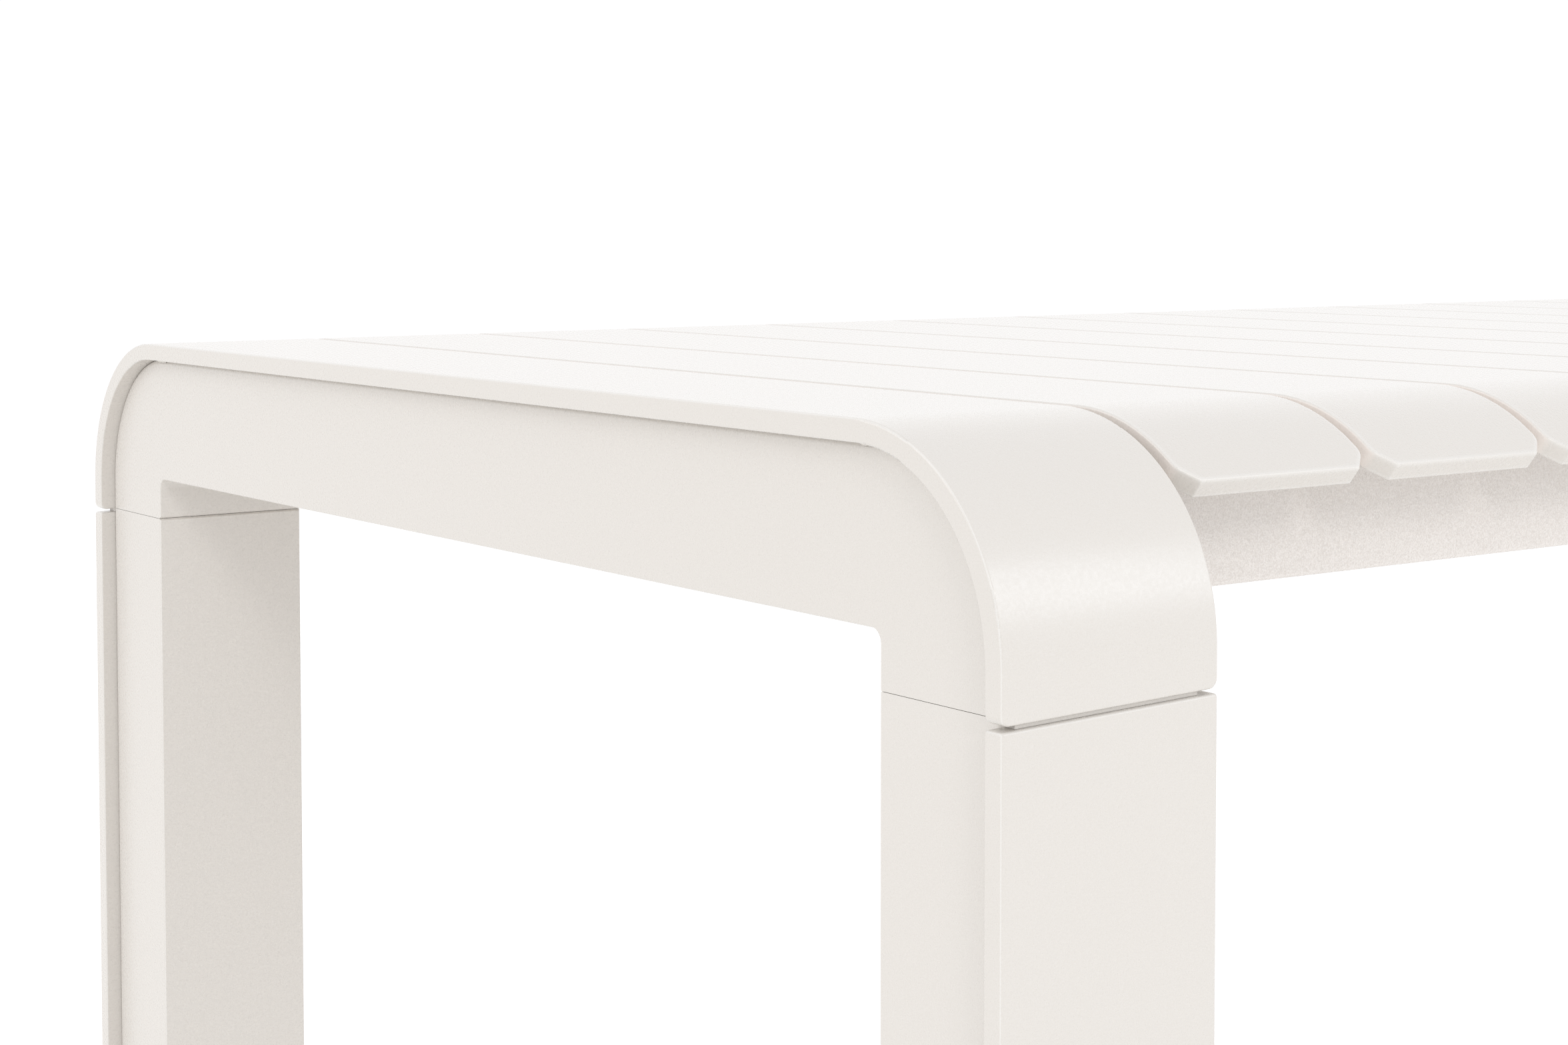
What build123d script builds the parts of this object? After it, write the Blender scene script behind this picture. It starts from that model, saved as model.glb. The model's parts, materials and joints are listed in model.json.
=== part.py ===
from build123d import *
import math
import os

# Backless garden bench in powder-coated aluminium. +X runs along the bench, +Y to its back,
# +Z up. The origin is on the floor, under the middle of the seat. Millimetres.

# --- driving dimensions ---
LENGTH = 1295.0  # over both end frames
DEPTH = 450.0  # over the legs' outer faces
HEIGHT = 450.0  # floor to the seat's top
SLATS = 20
GAP = 3.1  # between two slats, and between a slat and an end frame
COVER_WIDTH = 56.5  # of the cover plates on the end frames
PLATE = 5.0  # thickness of the cover plates and of the slats
OVERHANG = 4.5  # a cover plate stands this far past its box, on each side
BOX_DEPTH = 37.5  # of the box under a cover plate
WALL = 2.5  # of that box
BEND = 45.5  # outer radius of every bend
SEAM = 46.0  # weld between end rail and corner, measured from the outer face
ARRIS = 0.6  # rounding of the visible edges
BOX_SHOULDER = 1.5  # rounding of that box where its cover plate lies on it

# --- where a leg meets its corner ---
JOINT = 54.8  # the corner's box ends this far below the seat's top
LIP = 0.4  # the corner's cover plate reaches this far below its box
SHADOW_GAP = 1.0  # open gap between the two cover plates
JOINT_RISE = 1.6  # of that gap, towards the middle of the bench
HAIRLINE = 0.12  # open gap between the two boxes
TONGUE = 1.3  # depth of the corner's tongue below the skin, behind the shadow gap
TONGUE_ROOT = 3.0  # of the tongue, inside the corner's cover plate
TONGUE_PLAY = 0.05  # between the tongue and the leg
JOINT_BEVEL = 0.5  # on the boxes' inward edges at the joint
LIP_RADIUS = 2.2  # corners of the upper cover plate's lower edge
LEG_LIP_RADIUS = 0.8  # corners of the leg's cover plate at its top

# --- slat ends ---
SLAT_SWEEP = math.radians(38)  # how far a slat's end is bent down
SLAT_TAIL = 6.6  # straight stretch after the bend
CLIP = 4.5  # cut off each corner of a slat
CLIP_RADIUS = 4.0  # where a clipped corner meets the slat's side

# --- side rails, under the slats ---
RAIL_WIDTH = 25.0
RAIL_WALL = 2.0
RAIL_INSET = 46.0  # from the legs' outer faces to the rail's outer face
RAIL_ROUND = 1.0
DRAIN_HOLE = 3.0  # radius, in the rail's underside
DRAIN_FROM_END = 60.0
BEAD_LEG = 4.0  # weld between a slat and a side rail
BEAD_LENGTH = 26.0

# --- hidden leg joint ---
SPIGOT_WALL = 3.0
SPIGOT_UP = 9.0  # reach into the corner
SPIGOT_DOWN = 70.0  # reach into the leg
BOLT_DROPS = (75.0, 105.0)  # bolts below the seat's top
SHANK = 3.0  # radius
CLEARANCE_HOLE = 3.3  # radius, through the leg's wall
HEAD = 5.25  # radius
HEAD_HEIGHT = 3.0
SOCKET_ACROSS = 4.0  # hexagon, across its flats
SOCKET_DEPTH = 1.9
WASHER = 6.0  # radius
WASHER_THICKNESS = 1.2
SHANK_PAST_WALL = 4.0  # of the bolt, inside the spigot

# --- foot caps ---
FOOT = 4.0  # height of the pad that shows under a leg
FOOT_INSET = 0.8  # from the leg's outline
FOOT_CHAMFER = 1.0
PLUG_HEIGHT = 18.0  # reach into the leg
PLUG_WALL = 2.5
PLUG_PLAY = 0.15

# --- derived ---
SLAT_WIDTH = (LENGTH - 2 * COVER_WIDTH - (SLATS + 1) * GAP) / SLATS
BOX_WIDTH = COVER_WIDTH - 2 * OVERHANG
PROFILE = PLATE + BOX_DEPTH
FRAME_X = (LENGTH - COVER_WIDTH) / 2  # middle of an end frame
HOLLOW_WIDTH = BOX_WIDTH - 2 * WALL
HOLLOW_END = PROFILE - WALL
HOLLOW_MIDDLE = (PLATE + HOLLOW_END) / 2
RAIL_LENGTH = 2 * (FRAME_X - BOX_WIDTH / 2)
NEAR = 0.01  # two lengths closer than this are the same

SIDES = {"left": -1, "right": 1}
ENDS = {"front": -1, "back": 1}


def side_view(points):
    """A face in the side view of the bench's front. A point is (inward from the legs' outer
    face, down from the seat's top), and a third value is the radius of the arc to it."""
    placed = [(p[0] - DEPTH / 2, HEIGHT - p[1]) for p in points]
    edges = []
    for i, point in enumerate(points):
        if len(point) > 2:
            edges.append(RadiusArc(placed[i - 1], placed[i], point[2]))
        else:
            edges.append(Line(placed[i - 1], placed[i]))
    return Plane.YZ * make_face(Wire(edges))


def side_place(point):
    """A point of the side view as a place at X = 0."""
    return Vector(0, point[0] - DEPTH / 2, HEIGHT - point[1])


def slab(points, width):
    """The side view as a solid of that width, centred on X = 0."""
    return extrude(side_view(points), amount=width / 2, both=True)


def rectangle(near, far, top, bottom):
    """Side-view outline of a rectangle."""
    return [(near, top), (near, bottom), (far, bottom), (far, top)]


def skin_depth(point):
    """How deep a point of the front half lies below the end frame's outer skin."""
    inward = point.Y + DEPTH / 2
    down = HEIGHT - point.Z
    if inward < BEND and down < BEND:
        return BEND - math.hypot(BEND - inward, BEND - down)
    return min(inward, down)


def follows_skin(edge):
    """Whether an edge runs along the end frame: one X and one depth at both its ends."""
    start, end = edge @ 0, edge @ 1
    same_x = abs(start.X - end.X) < NEAR
    return same_x and abs(skin_depth(start) - skin_depth(end)) < NEAR


def rounded(layer, half_width, depths, radius=ARRIS):
    """A layer of the end frame with its long edges at those depths rounded."""
    keep = []
    for edge in layer.edges().filter_by(follows_skin):
        middle = edge @ 0.5
        on_side = abs(abs(middle.X) - half_width) < NEAR
        if on_side and any(abs(skin_depth(middle) - d) < NEAR for d in depths):
            keep.append(edge)
    return fillet(keep, radius)


def bend_outline(near, far, drop, seam=SEAM):
    """Side view of one layer of the quarter bend, between two depths below the skin."""
    return [
        (seam, near),
        (BEND, near),
        (near, BEND, near - BEND),
        (near, drop),
        (far, drop),
        (far, BEND),
        (BEND, far, BEND - far),
        (seam, far),
    ]


def joint_edges(solid, down, inward_from):
    """Edges along X at that drop, on the side that faces the middle of the end frame."""
    return [
        edge
        for edge in solid.edges().filter_by(Axis.X)
        if abs((edge @ 0.5).Z - (HEIGHT - down)) < NEAR
        and (edge @ 0.5).Y > inward_from - DEPTH / 2
    ]


def joint_wedge(down, below):
    """What a slanting cut that starts at that drop takes off a cover plate, below or above it."""
    half = COVER_WIDTH / 2
    low, high = HEIGHT - down, HEIGHT - down + JOINT_RISE
    heel = (half, low) if below else (-half, high)
    cut = [(-half, low), (half, high), heel]
    outline = Plane.XZ * make_face(Polyline(cut, close=True))
    return Pos(0, PLATE / 2 - DEPTH / 2, 0) * extrude(outline, amount=PLATE, both=True)


def plate_corners(plate, down):
    """The two short edges of a cover plate's end, from that drop to JOINT_RISE above it."""
    low, high = HEIGHT - down - NEAR, HEIGHT - down + JOINT_RISE + NEAR
    return [e for e in plate.edges().filter_by(Axis.Y) if low < (e @ 0.5).Z < high]


def corner():
    """Quarter-bend corner: a cover plate round a hollow box."""
    lower_edge = JOINT + LIP
    plate = slab(bend_outline(0, PLATE, lower_edge), COVER_WIDTH)
    plate -= joint_wedge(lower_edge, below=True)
    plate = fillet(plate_corners(plate, lower_edge), LIP_RADIUS)
    plate = rounded(plate, COVER_WIDTH / 2, (0, PLATE))
    tongue_end = lower_edge + SHADOW_GAP - TONGUE_PLAY
    tongue = slab(rectangle(TONGUE, PLATE, JOINT - TONGUE_ROOT, tongue_end), BOX_WIDTH)
    plate += tongue - joint_wedge(tongue_end, below=True)
    box = slab(bend_outline(PLATE, PROFILE, JOINT), BOX_WIDTH)
    box = chamfer(joint_edges(box, JOINT, HOLLOW_END), JOINT_BEVEL)
    box = rounded(box, BOX_WIDTH / 2, (PROFILE,))
    box = rounded(box, BOX_WIDTH / 2, (PLATE,), BOX_SHOULDER)
    past = 1.0
    hollow = slab(bend_outline(PLATE, HOLLOW_END, JOINT + past, SEAM + past), HOLLOW_WIDTH)
    return plate + (box - hollow)


def end_rail():
    """Straight top of an end frame: a cover plate on a hollow box."""
    far_end = DEPTH - SEAM
    plate = slab(rectangle(SEAM, far_end, 0, PLATE), COVER_WIDTH)
    plate = rounded(plate, COVER_WIDTH / 2, (0, PLATE))
    box = slab(rectangle(SEAM, far_end, PLATE, PROFILE), BOX_WIDTH)
    box = rounded(box, BOX_WIDTH / 2, (PROFILE,))
    box = rounded(box, BOX_WIDTH / 2, (PLATE,), BOX_SHOULDER)
    hollow = slab(rectangle(SEAM, far_end, PLATE, HOLLOW_END), HOLLOW_WIDTH)
    return plate + (box - hollow)


def leg():
    """Front leg: the end frame's section standing up, open at both ends."""
    plate_top = JOINT + LIP + SHADOW_GAP
    box_top = JOINT + HAIRLINE
    floor_end = HEIGHT - FOOT
    plate = slab(rectangle(0, PLATE, plate_top - JOINT_RISE, floor_end), COVER_WIDTH)
    plate -= joint_wedge(plate_top, below=False)
    plate = fillet(plate_corners(plate, plate_top), LEG_LIP_RADIUS)
    plate = rounded(plate, COVER_WIDTH / 2, (0, PLATE))
    box = slab(rectangle(PLATE, PROFILE, box_top, floor_end), BOX_WIDTH)
    box = chamfer(joint_edges(box, box_top, HOLLOW_END), JOINT_BEVEL)
    box = rounded(box, BOX_WIDTH / 2, (PROFILE,))
    box = rounded(box, BOX_WIDTH / 2, (PLATE,), BOX_SHOULDER)
    hollow = slab(rectangle(PLATE, HOLLOW_END, box_top, floor_end), HOLLOW_WIDTH)
    return plate + (box - hollow) - bolt_holes(CLEARANCE_HOLE)


def bolt_spot(drop):
    """Where a bolt's axis meets the leg's face that looks to the middle of the bench."""
    face = Plane.YZ.offset(BOX_WIDTH / 2)
    return face * Pos(HOLLOW_MIDDLE - DEPTH / 2, HEIGHT - drop)


def bolt_holes(radius):
    """Drills for a leg's bolts, from outside its wall into the spigot."""
    reach = 2 * (WALL + SPIGOT_WALL)
    return [bolt_spot(drop) * Cylinder(radius, reach) for drop in BOLT_DROPS]


def spigot():
    """Box sleeve inside the corner and the top of the leg."""
    top = JOINT - SPIGOT_UP
    bottom = JOINT + SPIGOT_DOWN
    sleeve = slab(rectangle(PLATE, HOLLOW_END, top, bottom), HOLLOW_WIDTH)
    inside = rectangle(PLATE + SPIGOT_WALL, HOLLOW_END - SPIGOT_WALL, top, bottom)
    sleeve -= slab(inside, HOLLOW_WIDTH - 2 * SPIGOT_WALL)
    return sleeve - bolt_holes(SHANK)


def bolts():
    """Button-head bolts of one leg."""
    dome_radius = (HEAD**2 + HEAD_HEIGHT**2) / (2 * HEAD_HEIGHT)
    dome = Pos(0, 0, HEAD_HEIGHT - dome_radius) * Sphere(dome_radius)
    head = dome & Pos(0, 0, HEAD_HEIGHT / 2) * Cylinder(HEAD, HEAD_HEIGHT)
    socket = extrude(RegularPolygon(SOCKET_ACROSS / 2, 6, major_radius=False), SOCKET_DEPTH)
    head -= Pos(0, 0, HEAD_HEIGHT - SOCKET_DEPTH) * socket
    shank_length = WASHER_THICKNESS + WALL + SPIGOT_WALL + SHANK_PAST_WALL
    shank = Pos(0, 0, -shank_length / 2) * Cylinder(SHANK, shank_length)
    bolt = Pos(0, 0, WASHER_THICKNESS) * (head + shank)
    return Compound([bolt_spot(drop) * bolt for drop in BOLT_DROPS])


def washers():
    """Washers under those heads."""
    ring = Cylinder(WASHER, WASHER_THICKNESS) - Cylinder(CLEARANCE_HOLE, WASHER_THICKNESS)
    ring = Pos(0, 0, WASHER_THICKNESS / 2) * ring
    return Compound([bolt_spot(drop) * ring for drop in BOLT_DROPS])


def foot():
    """Plastic cap: a pad of the leg's section with a plug up inside the leg."""
    floor = HEIGHT
    under_leg = HEIGHT - FOOT
    wide = slab(rectangle(FOOT_INSET, PLATE, under_leg, floor), COVER_WIDTH - 2 * FOOT_INSET)
    deep = rectangle(FOOT_INSET, PROFILE - FOOT_INSET, under_leg, floor)
    pad = wide + slab(deep, BOX_WIDTH - 2 * FOOT_INSET)
    pad = chamfer(pad.faces().sort_by(Axis.Z)[0].edges(), FOOT_CHAMFER)
    near, far = PLATE + PLUG_PLAY, HOLLOW_END - PLUG_PLAY
    width = HOLLOW_WIDTH - 2 * PLUG_PLAY
    plug = slab(rectangle(near, far, under_leg - PLUG_HEIGHT, under_leg), width)
    well = rectangle(near + PLUG_WALL, far - PLUG_WALL, under_leg - PLUG_HEIGHT, under_leg)
    return pad + (plug - slab(well, width - 2 * PLUG_WALL))


def side_rail():
    """Front box rail between the end frames, under the slats, with two drain holes."""
    near = RAIL_INSET
    far = RAIL_INSET + RAIL_WIDTH
    tube = slab(rectangle(near, far, PLATE, PROFILE), RAIL_LENGTH)
    tube = fillet(tube.edges().filter_by(Axis.X), RAIL_ROUND)
    inside = rectangle(near + RAIL_WALL, far - RAIL_WALL, PLATE + RAIL_WALL, PROFILE - RAIL_WALL)
    tube -= slab(inside, RAIL_LENGTH)
    for side in SIDES.values():
        x = side * (RAIL_LENGTH / 2 - DRAIN_FROM_END)
        drill = Cylinder(DRAIN_HOLE, 2 * RAIL_WALL)
        tube -= Pos(x, (near + far - DEPTH) / 2, HEIGHT - PROFILE) * drill
    return tube


def clipped_tip(outer_bend, tail):
    """Prism that trims a slat's end, square to its tail: it clips and rounds the corners."""
    tip = side_place((outer_bend[0] + tail[0], outer_bend[1] + tail[1]))
    inward = side_place(outer_bend) - tip
    plane = Plane(origin=tip, x_dir=(1, 0, 0), z_dir=Vector(1, 0, 0).cross(inward))
    half = SLAT_WIDTH / 2
    outline = Polyline(
        (-half, DEPTH), (-half, CLIP), (CLIP - half, 0), (half - CLIP, 0), (half, CLIP), (half, DEPTH)
    )
    outline = fillet(outline.vertices().sort_by(Axis.Y)[2:4], CLIP_RADIUS)
    face = make_face(outline + Line(outline @ 1, outline @ 0))
    return extrude(plane * face, amount=DEPTH, both=True)


def slat():
    """Flat bar across the seat, with both ends bent down and their corners clipped."""
    sine, cosine = math.sin(SLAT_SWEEP), math.cos(SLAT_SWEEP)
    inner = BEND - PLATE
    outer_bend = (BEND - BEND * sine, BEND - BEND * cosine)
    inner_bend = (BEND - inner * sine, BEND - inner * cosine)
    tail = (-SLAT_TAIL * cosine, SLAT_TAIL * sine)
    outline = [
        (DEPTH / 2, 0),
        (BEND, 0),
        (*outer_bend, -BEND),
        (outer_bend[0] + tail[0], outer_bend[1] + tail[1]),
        (inner_bend[0] + tail[0], inner_bend[1] + tail[1]),
        inner_bend,
        (BEND, PLATE, inner),
        (DEPTH / 2, PLATE),
    ]
    half = slab(outline, SLAT_WIDTH) & clipped_tip(outer_bend, tail)
    middle = half.faces().sort_by(Axis.Y)[-1]
    keep = [e for e in half.edges() if not any(e.is_same(m) for m in middle.edges())]
    half = fillet(keep, ARRIS)
    return half + mirror(half, about=Plane.XZ)


def weld_beads():
    """Fillet welds between the slats and the inward face of the front side rail."""
    root = RAIL_INSET + RAIL_WIDTH
    outline = [(root, PLATE), (root, PLATE + BEAD_LEG), (root + BEAD_LEG, PLATE)]
    bead = slab(outline, BEAD_LENGTH)
    return Compound([Pos(x, 0, 0) * bead for x in slat_places()])


def slat_places():
    """Middle of each slat along X, from left to right."""
    first = -(SLATS - 1) / 2
    return [(first + i) * (SLAT_WIDTH + GAP) for i in range(SLATS)]


def at_end(shape, end):
    """A front shape, or its mirror image at the back."""
    return shape if end == "front" else mirror(shape, about=Plane.XZ)


def at_side(shape, side):
    """A shape of the left end frame, modelled at X = 0, put in that end frame."""
    turned = shape if side == "left" else mirror(shape, about=Plane.YZ)
    return Pos(SIDES[side] * FRAME_X, 0, 0) * turned


def write(shape, name):
    """One STEP file for each node."""
    shape.label = name
    export_step(shape, f"parts/{name}.step")


def main():
    os.makedirs("parts", exist_ok=True)
    corner_parts = {
        "corner": corner(),
        "leg": leg(),
        "spigot": spigot(),
        "bolts": bolts(),
        "washers": washers(),
        "foot": foot(),
    }
    rail = end_rail()
    for side in SIDES:
        write(at_side(rail, side), f"end_rail_{side}")
        for end in ENDS:
            for name, shape in corner_parts.items():
                write(at_side(at_end(shape, end), side), f"{name}_{end}_{side}")
    front_rail = side_rail()
    front_beads = weld_beads()
    for end in ENDS:
        write(at_end(front_rail, end), f"side_rail_{end}")
        write(at_end(front_beads, end), f"weld_beads_{end}")
    bar = slat()
    for number, x in enumerate(slat_places(), start=1):
        write(Pos(x, 0, 0) * bar, f"slat_{number:02d}")


if __name__ == "__main__":
    main()
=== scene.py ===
# %% [markdown]
# # A slatted garden bench in powder-coated aluminium
# The bench is backless. Two end frames, each an upside-down U, carry twenty flat slats whose
# ends curl down over the edge. Everything that a sitter sees is welded aluminium under one warm
# off-white powder coat. This notebook takes the finished engineering model as its fixed frame
# and gives every piece the surface that the real metal has.

# %% Load the bench
import json
import math

import bmesh
import bpy
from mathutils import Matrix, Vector


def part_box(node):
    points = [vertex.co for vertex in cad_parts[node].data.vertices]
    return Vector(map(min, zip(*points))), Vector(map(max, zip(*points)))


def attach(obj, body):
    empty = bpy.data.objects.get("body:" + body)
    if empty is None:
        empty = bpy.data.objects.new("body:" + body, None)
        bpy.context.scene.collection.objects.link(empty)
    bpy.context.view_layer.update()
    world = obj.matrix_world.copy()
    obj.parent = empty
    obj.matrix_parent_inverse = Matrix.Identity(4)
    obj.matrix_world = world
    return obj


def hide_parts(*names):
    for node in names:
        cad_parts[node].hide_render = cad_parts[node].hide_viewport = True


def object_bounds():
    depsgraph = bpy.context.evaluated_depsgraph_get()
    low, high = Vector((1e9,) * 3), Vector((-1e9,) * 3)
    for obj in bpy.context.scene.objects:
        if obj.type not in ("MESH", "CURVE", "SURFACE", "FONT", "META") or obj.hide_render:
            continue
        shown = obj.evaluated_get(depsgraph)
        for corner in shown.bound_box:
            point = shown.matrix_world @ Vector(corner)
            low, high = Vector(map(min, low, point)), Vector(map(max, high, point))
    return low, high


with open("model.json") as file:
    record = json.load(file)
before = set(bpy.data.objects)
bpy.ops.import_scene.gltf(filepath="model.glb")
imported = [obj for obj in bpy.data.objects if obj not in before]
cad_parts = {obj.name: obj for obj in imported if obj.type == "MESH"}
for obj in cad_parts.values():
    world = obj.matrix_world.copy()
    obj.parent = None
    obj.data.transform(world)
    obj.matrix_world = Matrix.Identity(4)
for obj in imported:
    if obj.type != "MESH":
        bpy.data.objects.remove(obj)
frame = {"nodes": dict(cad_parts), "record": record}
cad_low, cad_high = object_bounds()
nodes = frame["nodes"]
print("bench:", [round(b - a, 3) for a, b in zip(cad_low, cad_high)], "m,", len(nodes), "pieces")

# %% [markdown]
# ## The camera
# The picture is taken from just above seat height, close to one corner, so that the end
# frame runs away to the left and the slats to the right. The camera's place is given from that
# corner of the seat, because the corner is what the picture is about. Tilting the camera down
# would make the legs lean, so most of the downward look comes from a lens shift, as on an
# architect's camera.

# %% Place the camera
near_corner = Vector((cad_low.x, cad_low.y, cad_high.z))
CAMERA_FROM_CORNER = Vector((-0.3186, -0.3722, 0.0414))
CAMERA_HEADING = math.radians(54.16)  # turned from +X towards +Y
CAMERA_DIP = math.radians(2.67)
CAMERA_ROLL = math.radians(0.03)
LENS = 60.74
SHIFT_DOWN = 0.121

camera_data = bpy.data.cameras.new("camera")
camera_data.lens = LENS
camera_data.sensor_width = 36.0
camera_data.shift_y = -SHIFT_DOWN
camera_data.clip_start = 0.01
camera = bpy.data.objects.new("camera", camera_data)
bpy.context.scene.collection.objects.link(camera)
camera.location = near_corner + CAMERA_FROM_CORNER
camera.rotation_mode = "XYZ"
camera.rotation_euler = (math.pi / 2 - CAMERA_DIP, CAMERA_ROLL, CAMERA_HEADING - math.pi / 2)
bpy.context.scene.camera = camera
print("camera at", [round(v, 3) for v in camera.location])
print("camera to corner:", round(CAMERA_FROM_CORNER.length, 3), "m")

# %% [markdown]
# ## The studio
# A pale bench on white is lit from all round, so that the paint shows its own colour and the
# lamps hardly show. A bright even room does most of the work, and four lamps shape it. The key
# light stands at the front and a little to the left. It throws the shadow of the slats' bent
# ends on the rail below them, and slips between two of them as a soft light patch. A softbox at
# the front right draws the satin band across the corner's bend. A wide panel behind lifts the
# seat where it is seen at a low angle. A box beyond the end frame lights the recess beside the
# cover plate, which the key light would leave dark. A panorama of a real studio could stand in
# for the room, but a plain world colour is just as even and needs no file.

# %% Light the studio
ROOM_TINT = (0.99, 1.0, 1.02, 1.0)
ROOM_STRENGTH = 1.045
WHITE = (1.0, 1.0, 1.0)
DAYLIGHT = (0.86, 0.93, 1.0)

scene = bpy.context.scene
scene.view_settings.view_transform = "Standard"
world = bpy.data.worlds.new("bright_room")
scene.world = world
world.use_nodes = True
room = world.node_tree.nodes["Background"]
room.inputs["Color"].default_value = ROOM_TINT
room.inputs["Strength"].default_value = ROOM_STRENGTH


def softbox(name, heading, height, distance, width, tall, power, tint=WHITE):
    """A rectangular lamp that looks at the near corner. Its heading turns from +X towards +Y, and
    both angles are in degrees."""
    data = bpy.data.lights.new(name, "AREA")
    data.shape = "RECTANGLE"
    data.size = width
    data.size_y = tall
    data.energy = power
    data.color = tint
    lamp = bpy.data.objects.new(name, data)
    scene.collection.objects.link(lamp)
    a, e = math.radians(heading), math.radians(height)
    away = Vector((math.cos(a) * math.cos(e), math.sin(a) * math.cos(e), math.sin(e)))
    lamp.location = near_corner + away * distance
    lamp.rotation_mode = "QUATERNION"
    lamp.rotation_quaternion = away.to_track_quat("Z", "Y")
    lamp.visible_camera = False
    return lamp


softbox("key_light", heading=250, height=24, distance=2.0, width=0.4, tall=0.4, power=5.6)
softbox(
    "softbox_front_right",
    heading=-45,
    height=20,
    distance=2.2,
    width=0.5,
    tall=0.8,
    power=4.2,
    tint=DAYLIGHT,
)
softbox("panel_behind", heading=50, height=16, distance=4.0, width=4.0, tall=2.0, power=5.4)
softbox("softbox_end", heading=150, height=25, distance=2.5, width=1.2, tall=1.2, power=8.5)

# %% [markdown]
# ## The floor
# The bench stands on a pale sheet that runs on far behind it, so that no edge of it shows. It lies
# a hair below the feet, since two surfaces in one plane would flicker through each other. Its
# finish comes last.

# %% Lay the floor
FLOOR_REACH = 60.0
FLOOR_DROP = 0.0002
bpy.ops.mesh.primitive_grid_add(x_subdivisions=8, y_subdivisions=8, size=FLOOR_REACH)
floor = bpy.context.object
floor.name = "studio_floor"
floor.location.z = -FLOOR_DROP
print("floor:", FLOOR_REACH, "m across")

# %% [markdown]
# ## Small helpers for finishes
# A finish is a tree of shader nodes. These helpers keep the recipes short: one makes an empty
# material with its main shader, one adds a node, and the others make noise, relief and blends.
# Noise comes out between 0 and 1 but hardly leaves the middle, so spread() first cuts out that
# middle stretch and then maps it onto the wanted range.


# %% Finish helpers
def new_finish(name):
    """An empty material: itself, its node tree, its main shader and the object's own place."""
    finish = bpy.data.materials.new(name)
    finish.use_nodes = True
    tree = finish.node_tree
    where = tree.nodes.new("ShaderNodeTexCoord").outputs["Object"]
    return finish, tree, tree.nodes["Principled BSDF"], where


def add(tree, kind, **inputs):
    """Adds a node and sets its inputs by their names, with _ for a space."""
    node = tree.nodes.new(kind)
    for key, value in inputs.items():
        node.inputs[key.replace("_", " ")].default_value = value
    return node


def grain(tree, where, size, detail=2.0):
    """Even noise whose lumps are about that many metres across."""
    noise = add(tree, "ShaderNodeTexNoise", Scale=1.0 / size, Detail=detail)
    tree.links.new(where, noise.inputs["Vector"])
    return noise.outputs["Fac"]


def bump(tree, height, depth, under=None):
    """Turns a height from 0 to 1 into relief of that depth in metres, over another relief."""
    node = add(tree, "ShaderNodeBump", Strength=1.0, Distance=depth)
    tree.links.new(height, node.inputs["Height"])
    if under is not None:
        tree.links.new(under, node.inputs["Normal"])
    return node.outputs["Normal"]


def spread(tree, value, low, high, start=0.35, end=0.65):
    """Maps a value between start and end onto the range from low to high."""
    node = add(tree, "ShaderNodeMapRange", From_Min=start, From_Max=end, To_Min=low, To_Max=high)
    tree.links.new(value, node.inputs["Value"])
    return node.outputs["Result"]


def product(tree, first, second):
    """Multiplies two values."""
    node = add(tree, "ShaderNodeMath")
    node.operation = "MULTIPLY"
    tree.links.new(first, node.inputs[0])
    tree.links.new(second, node.inputs[1])
    return node.outputs["Value"]


def blend(tree, share, first, second):
    """Mixes two colours. Each is a colour or a socket that gives one."""
    node = tree.nodes.new("ShaderNodeMix")
    node.data_type = "RGBA"
    tree.links.new(share, node.inputs["Factor"])
    for name, colour in (("A", first), ("B", second)):
        if isinstance(colour, tuple):
            node.inputs[name].default_value = colour
        else:
            tree.links.new(colour, node.inputs[name])
    return node.outputs["Result"]


print("finish helpers ready")

# %% [markdown]
# ## Painted highlights on the arrises
# Every arris of the bench gets a lighter line with slight glints painted into its colour: a
# painted highlight where a rounded edge catches the lamps. The end frames run in the Y-Z plane,
# and their faces look either along X or square to it, so a rounded arris is where the surface
# turns between the two. A slat has arrises at its bent ends too, where that doesn't work. There
# the shader looks inwards: rays sent into the metal from a face meet nothing within a millimetre,
# but from an arris many of them meet the next face. The slats' long sides face each other across
# a gap of 3 mm, and they get a lighter colour all over: painted light in the gaps. The edges could
# also get a second material, face by face, but a mask that the shader finds fades out softly.


# %% Find the arrises
def facing_along(tree):
    """The X part of the surface's direction: 1 or -1 where it faces along the bench."""
    normal = tree.nodes.new("ShaderNodeNewGeometry").outputs["Normal"]
    parts = tree.nodes.new("ShaderNodeSeparateXYZ")
    tree.links.new(normal, parts.inputs["Vector"])
    return parts.outputs["X"]


def frame_arris(tree):
    """1 in the middle of an end frame's long arris, 0 on its faces."""
    along = facing_along(tree)
    fold = tree.nodes.new("ShaderNodeMath")
    fold.operation = "PINGPONG"
    tree.links.new(product(tree, along, along), fold.inputs[0])
    fold.inputs[1].default_value = 0.5
    return spread(tree, fold.outputs["Value"], 0.0, 1.0, start=0.15, end=0.5)


def slat_sides(tree):
    """1 on a slat's long narrow sides, 0 on its other faces."""
    size = tree.nodes.new("ShaderNodeMath")
    size.operation = "ABSOLUTE"
    tree.links.new(facing_along(tree), size.inputs[0])
    return spread(tree, size.outputs["Value"], 0.0, 1.0, start=0.75, end=0.95)


def slat_arris(tree, reach=0.0014):
    """1 on a slat's sharp edges, 0 on its faces. reach is how far in the rays look."""
    look = add(tree, "ShaderNodeAmbientOcclusion", Distance=reach)
    look.inside = True
    look.only_local = True
    look.samples = 6
    return spread(tree, look.outputs["AO"], 0.0, 1.0, start=0.92, end=0.6)


print("arris finders ready")
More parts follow.
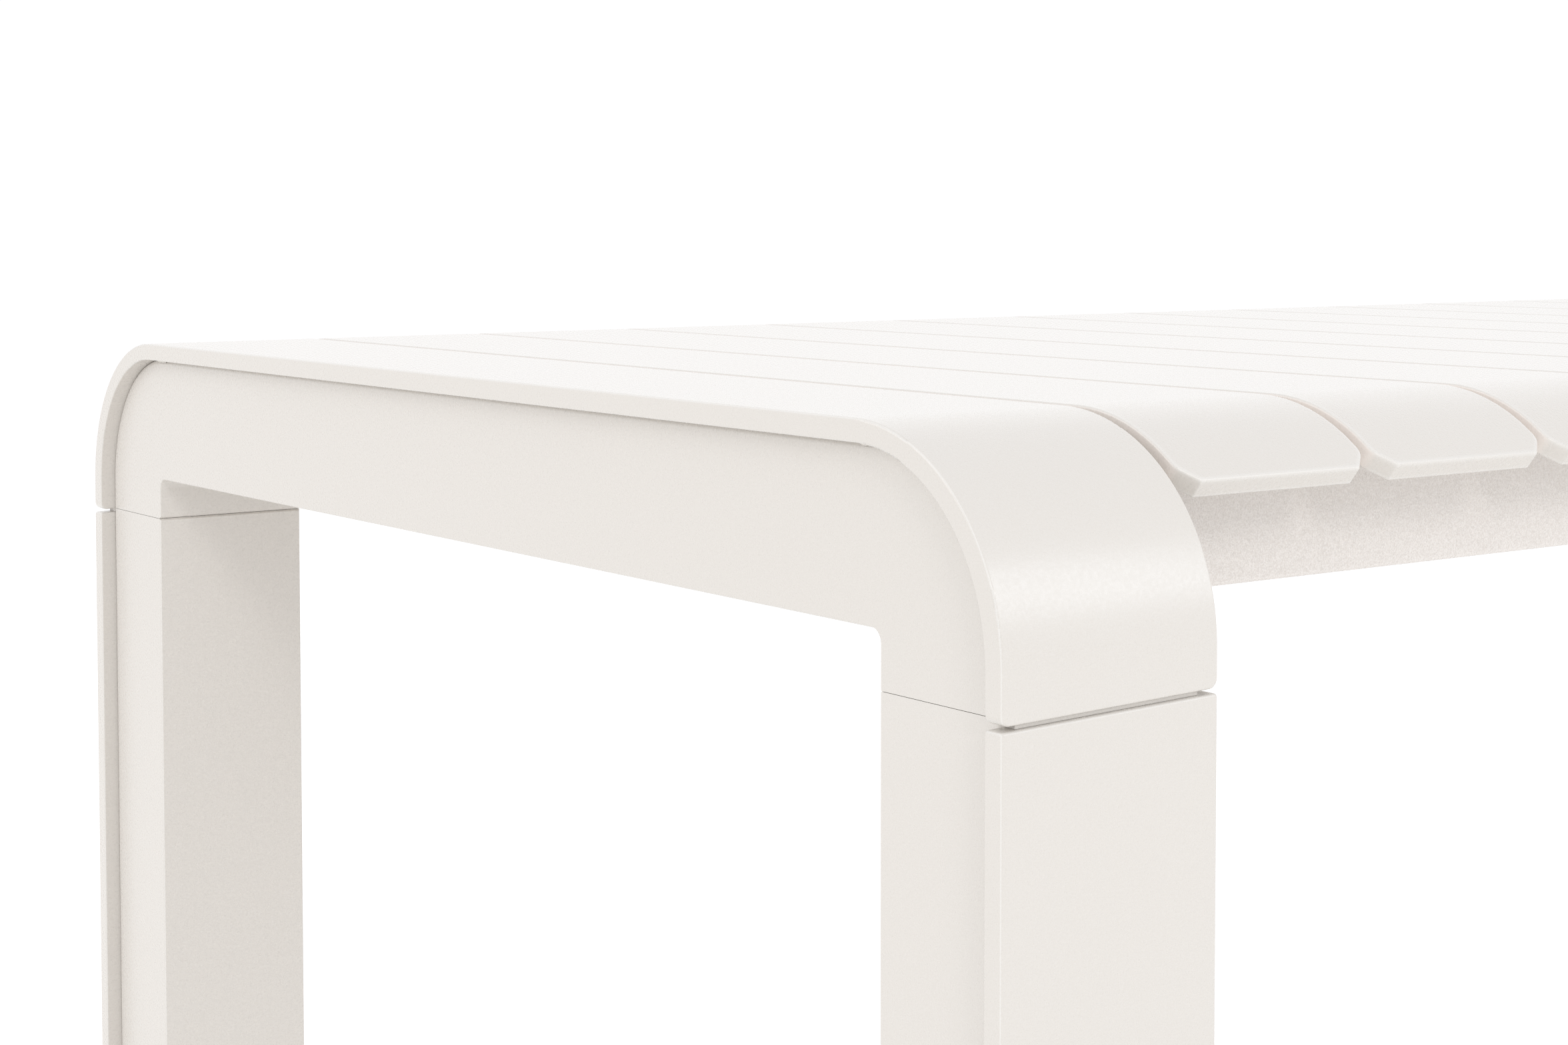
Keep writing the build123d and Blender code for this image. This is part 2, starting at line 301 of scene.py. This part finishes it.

# %% [markdown]
# ## The powder coat
# Powder is sprayed dry and melts in an oven, so it never levels out as wet paint does. Up close
# it has two textures at once: grains a third of a millimetre across, and the swell of orange
# peel over about a millimetre. Both are relief. The colour follows the same fine noise and is a
# little darker where the grain is low: painted shade in the pits. The swell breaks up the edge of
# every highlight, which is what tells powder coat from plastic. Noise made by the shader serves
# better here than a picture of paint would: it has no seams, and it stays sharp however near one
# looks.

# %% Powder coat
GRAIN = 0.00035  # across one grain
SWELL = 0.0009  # across one wave of the orange peel
SATIN = (0.26, 0.32)  # roughness, over the swell
PAINTED_ARRIS_GLINT = (0.72, 1.0)  # share of the painted highlight on an arris, from pits to grains
COAT_IOR = 1.6
# Painted highlight: the lighter colour given to the arrises, with painted glints on the grains.
PAINTED_ARRIS_HIGHLIGHT = (0.74, 0.72, 0.69, 1.0)
# Painted light: the lighter colour given to the slats' long sides, deep in the gaps between them.
PAINTED_LIGHT_ON_SLAT_SIDES = (0.79, 0.735, 0.69, 1.0)


def powder_coat(name, coat, pit_shade, grain_depth, peel_depth, find_arris_to_highlight=None, find_sides_to_light=None):
    """Warm off-white powder coat with fine grain over orange peel and painted shade in its pits,
    and where a finder is given, a painted highlight on the arrises and painted light on the slats'
    sides.
    """
    finish, tree, shader, where = new_finish(name)
    fine = grain(tree, where, GRAIN)
    swell = grain(tree, where, SWELL, detail=1.0)
    # Painted shade: the colour is darker where the fine grain is low, in the pits.
    colour = blend(tree, spread(tree, fine, 0.0, 1.0), pit_shade, coat)
    # Painted highlight: a lighter line with painted glints on the grains along each arris.
    if find_arris_to_highlight is not None:
        glint_share = spread(tree, fine, *PAINTED_ARRIS_GLINT)
        colour = blend(tree, product(tree, find_arris_to_highlight(tree), glint_share), colour, PAINTED_ARRIS_HIGHLIGHT)
    # Painted light: the slats' long sides in the gaps get a lighter colour.
    if find_sides_to_light is not None:
        colour = blend(tree, find_sides_to_light(tree), colour, PAINTED_LIGHT_ON_SLAT_SIDES)
    tree.links.new(colour, shader.inputs["Base Color"])
    tree.links.new(spread(tree, swell, *SATIN), shader.inputs["Roughness"])
    peel = bump(tree, swell, peel_depth)
    tree.links.new(bump(tree, fine, grain_depth, peel), shader.inputs["Normal"])
    shader.inputs["IOR"].default_value = COAT_IOR
    return finish


print("grain", GRAIN * 1000, "mm, orange peel", SWELL * 1000, "mm")

# %% [markdown]
# ## One powder, three coats
# The whole bench is sprayed from one batch of powder, so the colour is shared. What differs is
# where painted highlights and painted light go: nowhere on the hidden sleeves and the welds, a
# painted highlight on the long arrises of the end frames, and on the slats a painted highlight on
# their edges and painted light on their long sides. The slats' grain also stands up a little
# more. One recipe called three times keeps the coats alike in all the rest.

# %% Three coats
COAT = (0.664, 0.631, 0.590, 1.0)
COAT_SHADED_IN_PITS = (0.648, 0.613, 0.569, 1.0)
GRAIN_DEPTH = 0.000005
SLAT_GRAIN_DEPTH = 0.000007
PEEL_DEPTH = 0.000018

plain_coat = powder_coat("powder_coat", COAT, COAT_SHADED_IN_PITS, GRAIN_DEPTH, PEEL_DEPTH)
frame_coat_with_arris_highlight = powder_coat(
    "powder_coat_frame_arris_highlight", COAT, COAT_SHADED_IN_PITS, GRAIN_DEPTH, PEEL_DEPTH, frame_arris
)
slat_coat_with_painted_light = powder_coat(
    "powder_coat_slat", COAT, COAT_SHADED_IN_PITS, SLAT_GRAIN_DEPTH, PEEL_DEPTH, slat_arris, slat_sides
)
print("powder coats:", plain_coat.name, frame_coat_with_arris_highlight.name, slat_coat_with_painted_light.name)

# %% [markdown]
# ## A lighter, rougher coat on the side rails
# The rails lie in shade under the slats, so their coat is a lighter copy of the powder: painted
# light that makes up for that shade. Its relief is deeper, like fine sand, and its grains are
# light specks over dark pits: painted glints and painted shade for light grazing the rough face.
# It is the same recipe with deeper relief and more contrast between the grains and their pits.

# %% Rail coat
# Lighter than COAT as painted light for the shade under the slats; the step to the pit colour
# paints glints on the grains and shade in the pits.
RAIL_COAT_WITH_PAINTED_LIGHT = (0.78, 0.74, 0.705, 1.0)
RAIL_PAINTED_SHADE_IN_PITS = (0.66, 0.615, 0.575, 1.0)
RAIL_RELIEF = 0.00002

rail_coat_with_painted_light = powder_coat(
    "powder_coat_rail_painted_light", RAIL_COAT_WITH_PAINTED_LIGHT, RAIL_PAINTED_SHADE_IN_PITS, RAIL_RELIEF, RAIL_RELIEF
)
print("rail coat:", rail_coat_with_painted_light.name)

# %% [markdown]
# ## Stainless bolts and washers
# The fasteners are the only bare metal, turned and stamped stainless steel. A perfectly even
# metal looks like a mirror ball, so the roughness wanders a little, as handling leaves dull and
# bright patches. The heads are too small for lines of brushing to show, so the grain is even.


# %% Stainless steel
STEEL_HANDLED = (0.56, 0.55, 0.53, 1.0)
STEEL_CLEAN = (0.66, 0.65, 0.63, 1.0)
STEEL_PATCH = 0.0015  # across one dull or bright patch
STEEL_SHEEN = (0.22, 0.42)  # roughness, over the patches
STEEL_GRAIN = 0.0003
STEEL_GRAIN_DEPTH = 0.000006


def stainless():
    """Satin stainless steel with handling marks."""
    finish, tree, shader, where = new_finish("stainless")
    shader.inputs["Metallic"].default_value = 1.0
    wear = grain(tree, where, STEEL_PATCH, detail=4.0)
    colour = blend(tree, spread(tree, wear, 0.0, 1.0), STEEL_HANDLED, STEEL_CLEAN)
    tree.links.new(colour, shader.inputs["Base Color"])
    tree.links.new(spread(tree, wear, *STEEL_SHEEN), shader.inputs["Roughness"])
    relief = bump(tree, grain(tree, where, STEEL_GRAIN), STEEL_GRAIN_DEPTH)
    tree.links.new(relief, shader.inputs["Normal"])
    return finish


steel = stainless()
print("steel:", steel.name)

# %% [markdown]
# ## Moulded feet
# The caps under the legs are polyethylene in a tone near the coat. Their mould was spark-eroded,
# which leaves a fine even stipple and no gloss. The stipple is relief in the shader: modelled in
# the mesh it would cost a great many faces and still only be seen as a lack of shine.


# %% Foot plastic
FOOT_SCUFFED = (0.66, 0.63, 0.58, 1.0)
FOOT_CLEAN = (0.71, 0.68, 0.64, 1.0)
FOOT_SCUFF = 0.006  # across one scuffed patch
FOOT_MATT = (0.5, 0.66)  # roughness, over the patches
STIPPLE = 0.0004
STIPPLE_DEPTH = 0.00002


def moulded_plastic():
    """Matt pale plastic with a spark-eroded stipple."""
    finish, tree, shader, where = new_finish("foot_plastic")
    scuffs = grain(tree, where, FOOT_SCUFF, detail=4.0)
    colour = blend(tree, spread(tree, scuffs, 0.0, 1.0), FOOT_SCUFFED, FOOT_CLEAN)
    tree.links.new(colour, shader.inputs["Base Color"])
    tree.links.new(spread(tree, scuffs, *FOOT_MATT), shader.inputs["Roughness"])
    relief = bump(tree, grain(tree, where, STIPPLE), STIPPLE_DEPTH)
    tree.links.new(relief, shader.inputs["Normal"])
    return finish


plastic = moulded_plastic()
print("feet:", plastic.name)

# %% [markdown]
# ## Put the finishes on
# The engineering pieces keep their shapes. Each one's record says what it is made of, and that
# word picks the finish. Among the coated pieces the name then picks the right one of the coats.
# A loop does it rather than a line for each of the fifty pieces, so that none is forgotten.

# %% Finish the frame's pieces
FINISH_OF_SLOT = {"powder_coat": plain_coat, "stainless": steel, "foot_plastic": plastic}
COAT_OF_PART = {
    "side_rail_": rail_coat_with_painted_light,
    "slat_": slat_coat_with_painted_light,
    "corner_": frame_coat_with_arris_highlight,
    "leg_": frame_coat_with_arris_highlight,
    "end_rail_": frame_coat_with_arris_highlight,
}

slot_of = {part["node"]: part["material_slot"] for part in frame["record"]["subparts"]}
for name, piece in nodes.items():
    finish = FINISH_OF_SLOT[slot_of[name]]
    for part, coat in COAT_OF_PART.items():
        if name.startswith(part):
            finish = coat
    piece.material_slots[0].material = finish
print("finished", len(nodes), "pieces")

# %% [markdown]
# ## Welds
# A weld is laid by hand, puddle after puddle, and each puddle leaves a ripple. So the plain
# wedges of the engineering model are replaced by beads with that ripple: a row of cross-sections
# along the root of the joint, each a quarter-round of a slightly different size. The size swells
# and shrinks with the puddles and tapers at both ends, where the arc starts and stops. Relief in
# the shader would be quicker, but its outline would stay straight, and welds are seen edge-on.


# %% Weld bead
PUDDLE = 0.0022  # from one ripple to the next
RIPPLE = 0.07  # how much a bead swells and shrinks, as a share of its size
TAPER = 0.06  # stretch at each end where a bead grows, as a share of its length
START_SIZE = 0.25  # of a bead at its very ends
BULGE = 0.2  # of a bead's face, past the straight line between its legs
STEPS_PER_PUDDLE = 4
ARC_STEPS = 6
ALONG_BENCH = Vector((1, 0, 0))
TO_BACK = Vector((0, 1, 0))
DOWN = Vector((0, 0, -1))


def weld_bead(mesh, root, along, outward, length, leg):
    """Adds a rippled bead under a plate: root is where it starts, outward points off the wall."""
    stations = round(STEPS_PER_PUDDLE * length / PUDDLE)
    rings = []
    for i in range(stations + 1):
        share = i / stations
        taper = math.sin(math.pi * min(share, 1 - share, TAPER) / (2 * TAPER))
        ripple = 1 - RIPPLE + RIPPLE * math.cos(2 * math.pi * share * length / PUDDLE)
        size = leg * ripple * (START_SIZE + (1 - START_SIZE) * taper)
        middle = root + along * (share * length)
        ring = [mesh.verts.new(middle)]
        for k in range(ARC_STEPS + 1):
            turn = math.pi / 2 * k / ARC_STEPS
            straight = size / (math.cos(turn) + math.sin(turn))
            reach = straight * (1 + BULGE * math.sin(2 * turn))
            away = outward * math.cos(turn) + DOWN * math.sin(turn)
            ring.append(mesh.verts.new(middle + away * reach))
        rings.append(ring)
    for ring, following in zip(rings, rings[1:]):
        for k, vertex in enumerate(ring):
            after = (k + 1) % len(ring)
            mesh.faces.new((vertex, ring[after], following[after], following[k]))
    mesh.faces.new(reversed(rings[0]))
    mesh.faces.new(rings[-1])


print("a puddle every", PUDDLE * 1000, "mm")

# %% [markdown]
# All the beads of one kind are gathered in one mesh, which becomes one piece of the bench. The
# long faces are shaded smooth, so that the ripples look rounded, and the two end faces stay flat.


# %% Make a piece of the beads
def welded_piece(name, mesh, finish):
    """Turns the beads into one smooth piece that belongs to the bench."""
    bmesh.ops.recalc_face_normals(mesh, faces=mesh.faces)
    for face in mesh.faces:
        face.smooth = len(face.verts) == 4
    data = bpy.data.meshes.new(name)
    mesh.to_mesh(data)
    mesh.free()
    data.materials.append(finish)
    piece = bpy.data.objects.new(name, data)
    scene.collection.objects.link(piece)
    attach(piece, "root")
    return piece


print("ready to weld")

# %% [markdown]
# ## Slat welds
# Under each slat one bead runs along the inward face of each side rail. The slats' middles and
# the rail's face are read from the engineering model, so that the beads sit where it has them.

# %% Weld the slats to the side rails
BEAD_LENGTH = 0.026
SLATS = sorted(name for name in nodes if name.startswith("slat_"))

for end, inward in (("front", TO_BACK), ("back", -TO_BACK)):
    rail_low, rail_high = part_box(f"side_rail_{end}")
    bead_low, bead_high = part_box(f"weld_beads_{end}")
    wall = rail_high.y if end == "front" else rail_low.y
    leg = bead_high.z - bead_low.z
    beads = bmesh.new()
    for slat in SLATS:
        slat_low, slat_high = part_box(slat)
        start = Vector(((slat_low.x + slat_high.x - BEAD_LENGTH) / 2, wall, rail_high.z))
        weld_bead(beads, start, ALONG_BENCH, inward, BEAD_LENGTH, leg)
    piece = welded_piece(f"slat_welds_{end}", beads, plain_coat)
    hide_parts(f"weld_beads_{end}")
    print(piece.name, len(SLATS), "beads,", round(leg * 1000, 1), "mm legs")

# %% [markdown]
# ## Seam welds
# The end rail's seams to its corners are ground flush where they show, but under the cover
# plate's overhang the grinder can't reach. A short bead stays there, on both faces of the box.

# %% Weld the end rails to the corners
PLATE = 0.005
OVERHANG = 0.0045
SEAM_BEAD = 0.006
SEAM_LEG = 0.0011

seams = bmesh.new()
for side in ("left", "right"):
    rail_low, rail_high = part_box(f"end_rail_{side}")
    under_plate = rail_high.z - PLATE
    for x, outward in (
        (rail_low.x + OVERHANG, -ALONG_BENCH),
        (rail_high.x - OVERHANG, ALONG_BENCH),
    ):
        for y in (rail_low.y, rail_high.y):
            start = Vector((x, y - SEAM_BEAD / 2, under_plate))
            weld_bead(seams, start, TO_BACK, outward, SEAM_BEAD, SEAM_LEG)
piece = welded_piece("seam_welds", seams, plain_coat)
print(piece.name, len(piece.data.vertices), "points")

# %% [markdown]
# ## The floor's finish
# The sheet is as white as a floor can be, so that the bench seems to stand on the light itself,
# with only a soft shadow at its feet. A trace of warmth in it answers the room's cool tint.


# %% Floor finish
FLOOR_WHITE = (1.0, 0.99, 0.975, 1.0)
FLOOR_PATCH = 0.05  # across one smoother patch
FLOOR_MATT = (0.8, 0.9)  # roughness, over the patches


def studio_white():
    """Matt white, hardly uneven."""
    finish, tree, shader, where = new_finish("studio_floor")
    shader.inputs["Base Color"].default_value = FLOOR_WHITE
    patches = grain(tree, where, FLOOR_PATCH)
    tree.links.new(spread(tree, patches, *FLOOR_MATT), shader.inputs["Roughness"])
    return finish


floor.data.materials.append(studio_white())
print("floor finish:", floor.data.materials[0].name)
